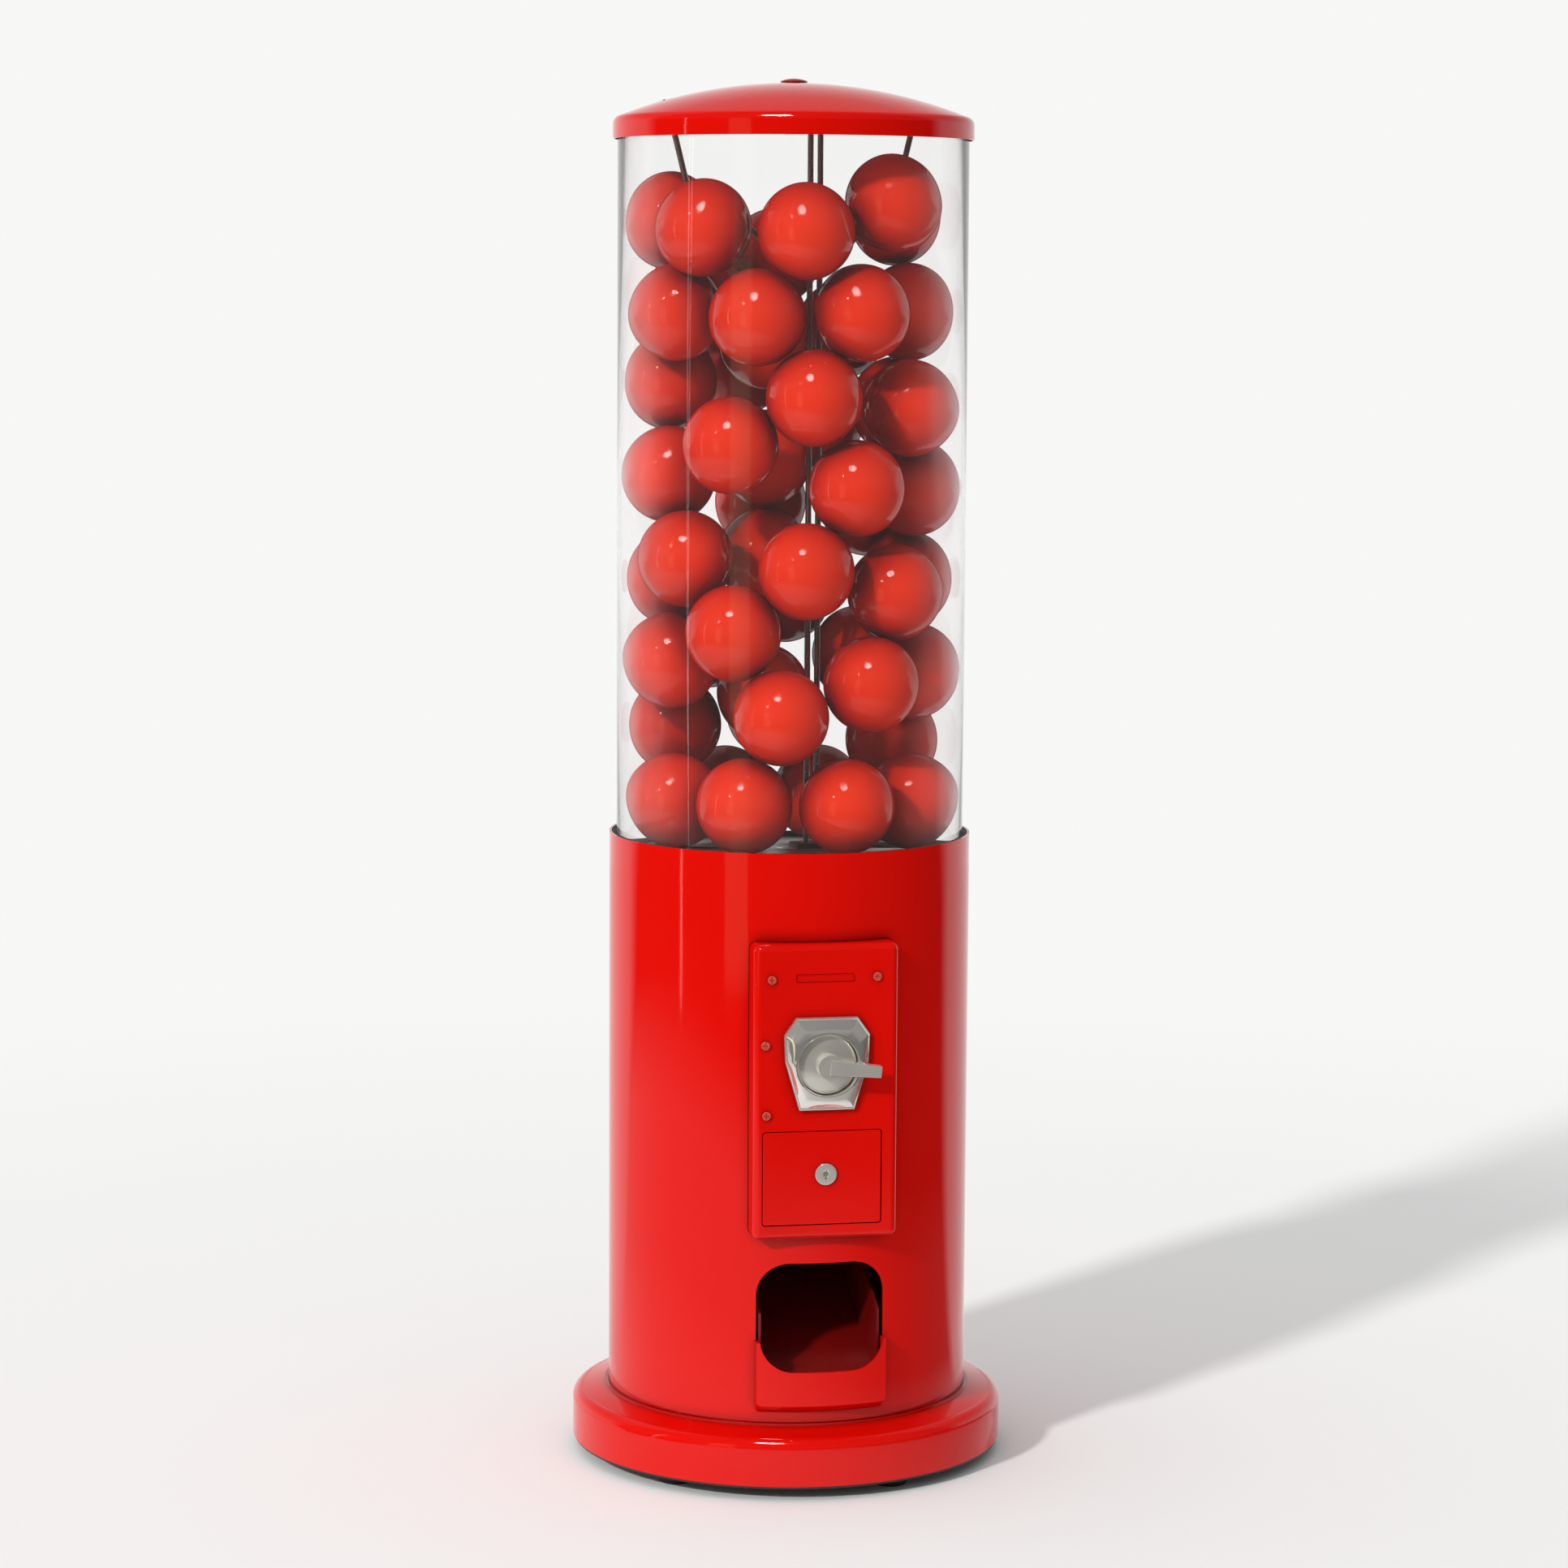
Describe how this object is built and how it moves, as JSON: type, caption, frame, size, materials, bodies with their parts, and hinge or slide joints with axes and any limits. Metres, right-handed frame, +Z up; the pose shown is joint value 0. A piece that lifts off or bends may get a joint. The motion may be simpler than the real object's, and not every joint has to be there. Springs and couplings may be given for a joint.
{
  "type": "gumball machine",
  "caption": "Free-standing round gumball machine with clear tube tank, domed lid, turning coin lever, locked cash drawer, pocketed dispensing wheel and delivery opening.",
  "frame": {"origin": "On the floor under the centre of the machine", "axes": "+Z is up along the body's axis, -Y is the front with the coin mechanism and the delivery opening, +X is to the right of someone facing the front"},
  "size_m": [0.36, 0.364, 1.1416],
  "materials": {
    "red_paint": "glossy red enamel on sheet steel",
    "gumball": "glossy orange-red shell of a gumball",
    "clear_acrylic": "clear acrylic",
    "clear_seal": "translucent grey seal",
    "rubber": "black moulded rubber",
    "chrome": "polished chrome plate",
    "dark_steel": "dark painted steel",
    "rod_steel": "drawn steel rod",
    "zinc_steel": "zinc-plated sheet steel",
    "floor_steel": "grey-brown painted plate",
    "brass": "machined brass",
    "wheel_plastic": "moulded off-white plastic"
  },
  "bodies": {
    "machine": {"rubber_feet": "rubber", "base_plate": "dark_steel", "base_skirt": "red_paint", "body_bolts": "zinc_steel", "body_shell": "red_paint", "rim_gasket": "rubber", "delivery_lip": "red_paint", "delivery_chute": "dark_steel", "drop_tube": "dark_steel", "front_housing": "red_paint", "housing_screws": "red_paint", "cash_guide": "zinc_steel", "mech_plate": "chrome", "mech_housing": "zinc_steel", "shaft_bracket": "zinc_steel", "lower_bush": "brass", "upper_bush": "brass", "drop_plate": "zinc_steel", "plate_brackets": "zinc_steel", "hopper_floor": "floor_steel", "floor_ring": "zinc_steel", "tank_tube": "clear_acrylic", "lid_seal": "clear_seal", "rod_foot": "dark_steel", "upright_rods": "rod_steel", "stay_collar": "dark_steel", "stay_rods": "rod_steel", "rod_bridge": "dark_steel", "gumballs": "gumball"},
    "wheel": {"crown_gear": "brass", "wheel_shaft": "rod_steel", "dispensing_wheel": "wheel_plastic", "pocket_gumballs": "gumball"},
    "handle": {"turn_handle": "chrome", "coin_disc": "chrome", "handle_shaft": "rod_steel", "drive_pinion": "brass"},
    "pawl": {"coin_pawl": "zinc_steel"},
    "cash_drawer": {"cash_drawer_front": "red_paint", "cash_box": "zinc_steel"},
    "lock": {"lock_cylinder": "chrome", "lock_cam": "zinc_steel"},
    "lid": {"lid": "red_paint"},
    "cap_nut": {"lid_cap_nut": "dark_steel"}
  },
  "joints": [
    {"name": "wheel_turn", "type": "hinge", "parent": "machine", "child": "wheel", "pos_m": [0, 0, 0.43], "axis": [0, 0, 1], "continuous": true},
    {"name": "handle_turn", "type": "hinge", "parent": "machine", "child": "handle", "pos_m": [0, -0.16, 0.355], "axis": [0, 1, 0], "continuous": true},
    {"name": "pawl_swing", "type": "hinge", "parent": "machine", "child": "pawl", "pos_m": [-0.022, -0.151, 0.361], "axis": [0, 1, 0], "range_deg": [0, 4], "stiffness_Nm_per_rad": 0.01},
    {"name": "drawer_slide", "type": "slide", "parent": "machine", "child": "cash_drawer", "axis": [0, -1, 0], "range_m": [0, 0.06]},
    {"name": "lock_turn", "type": "hinge", "parent": "cash_drawer", "child": "lock", "pos_m": [0, -0.16, 0.265], "axis": [0, -1, 0], "range_deg": [0, 90]},
    {"name": "lid_lift", "type": "slide", "parent": "machine", "child": "lid", "axis": [0, 0, 1], "range_m": [0, 0.12]},
    {"name": "cap_nut_turn", "type": "hinge", "parent": "lid", "child": "cap_nut", "pos_m": [0, 0, 1.139], "axis": [0, 0, 1], "continuous": true}
  ],
  "couplings": [
    {"joint": "handle_turn", "follows": "wheel_turn", "ratio": 5}
  ]
}
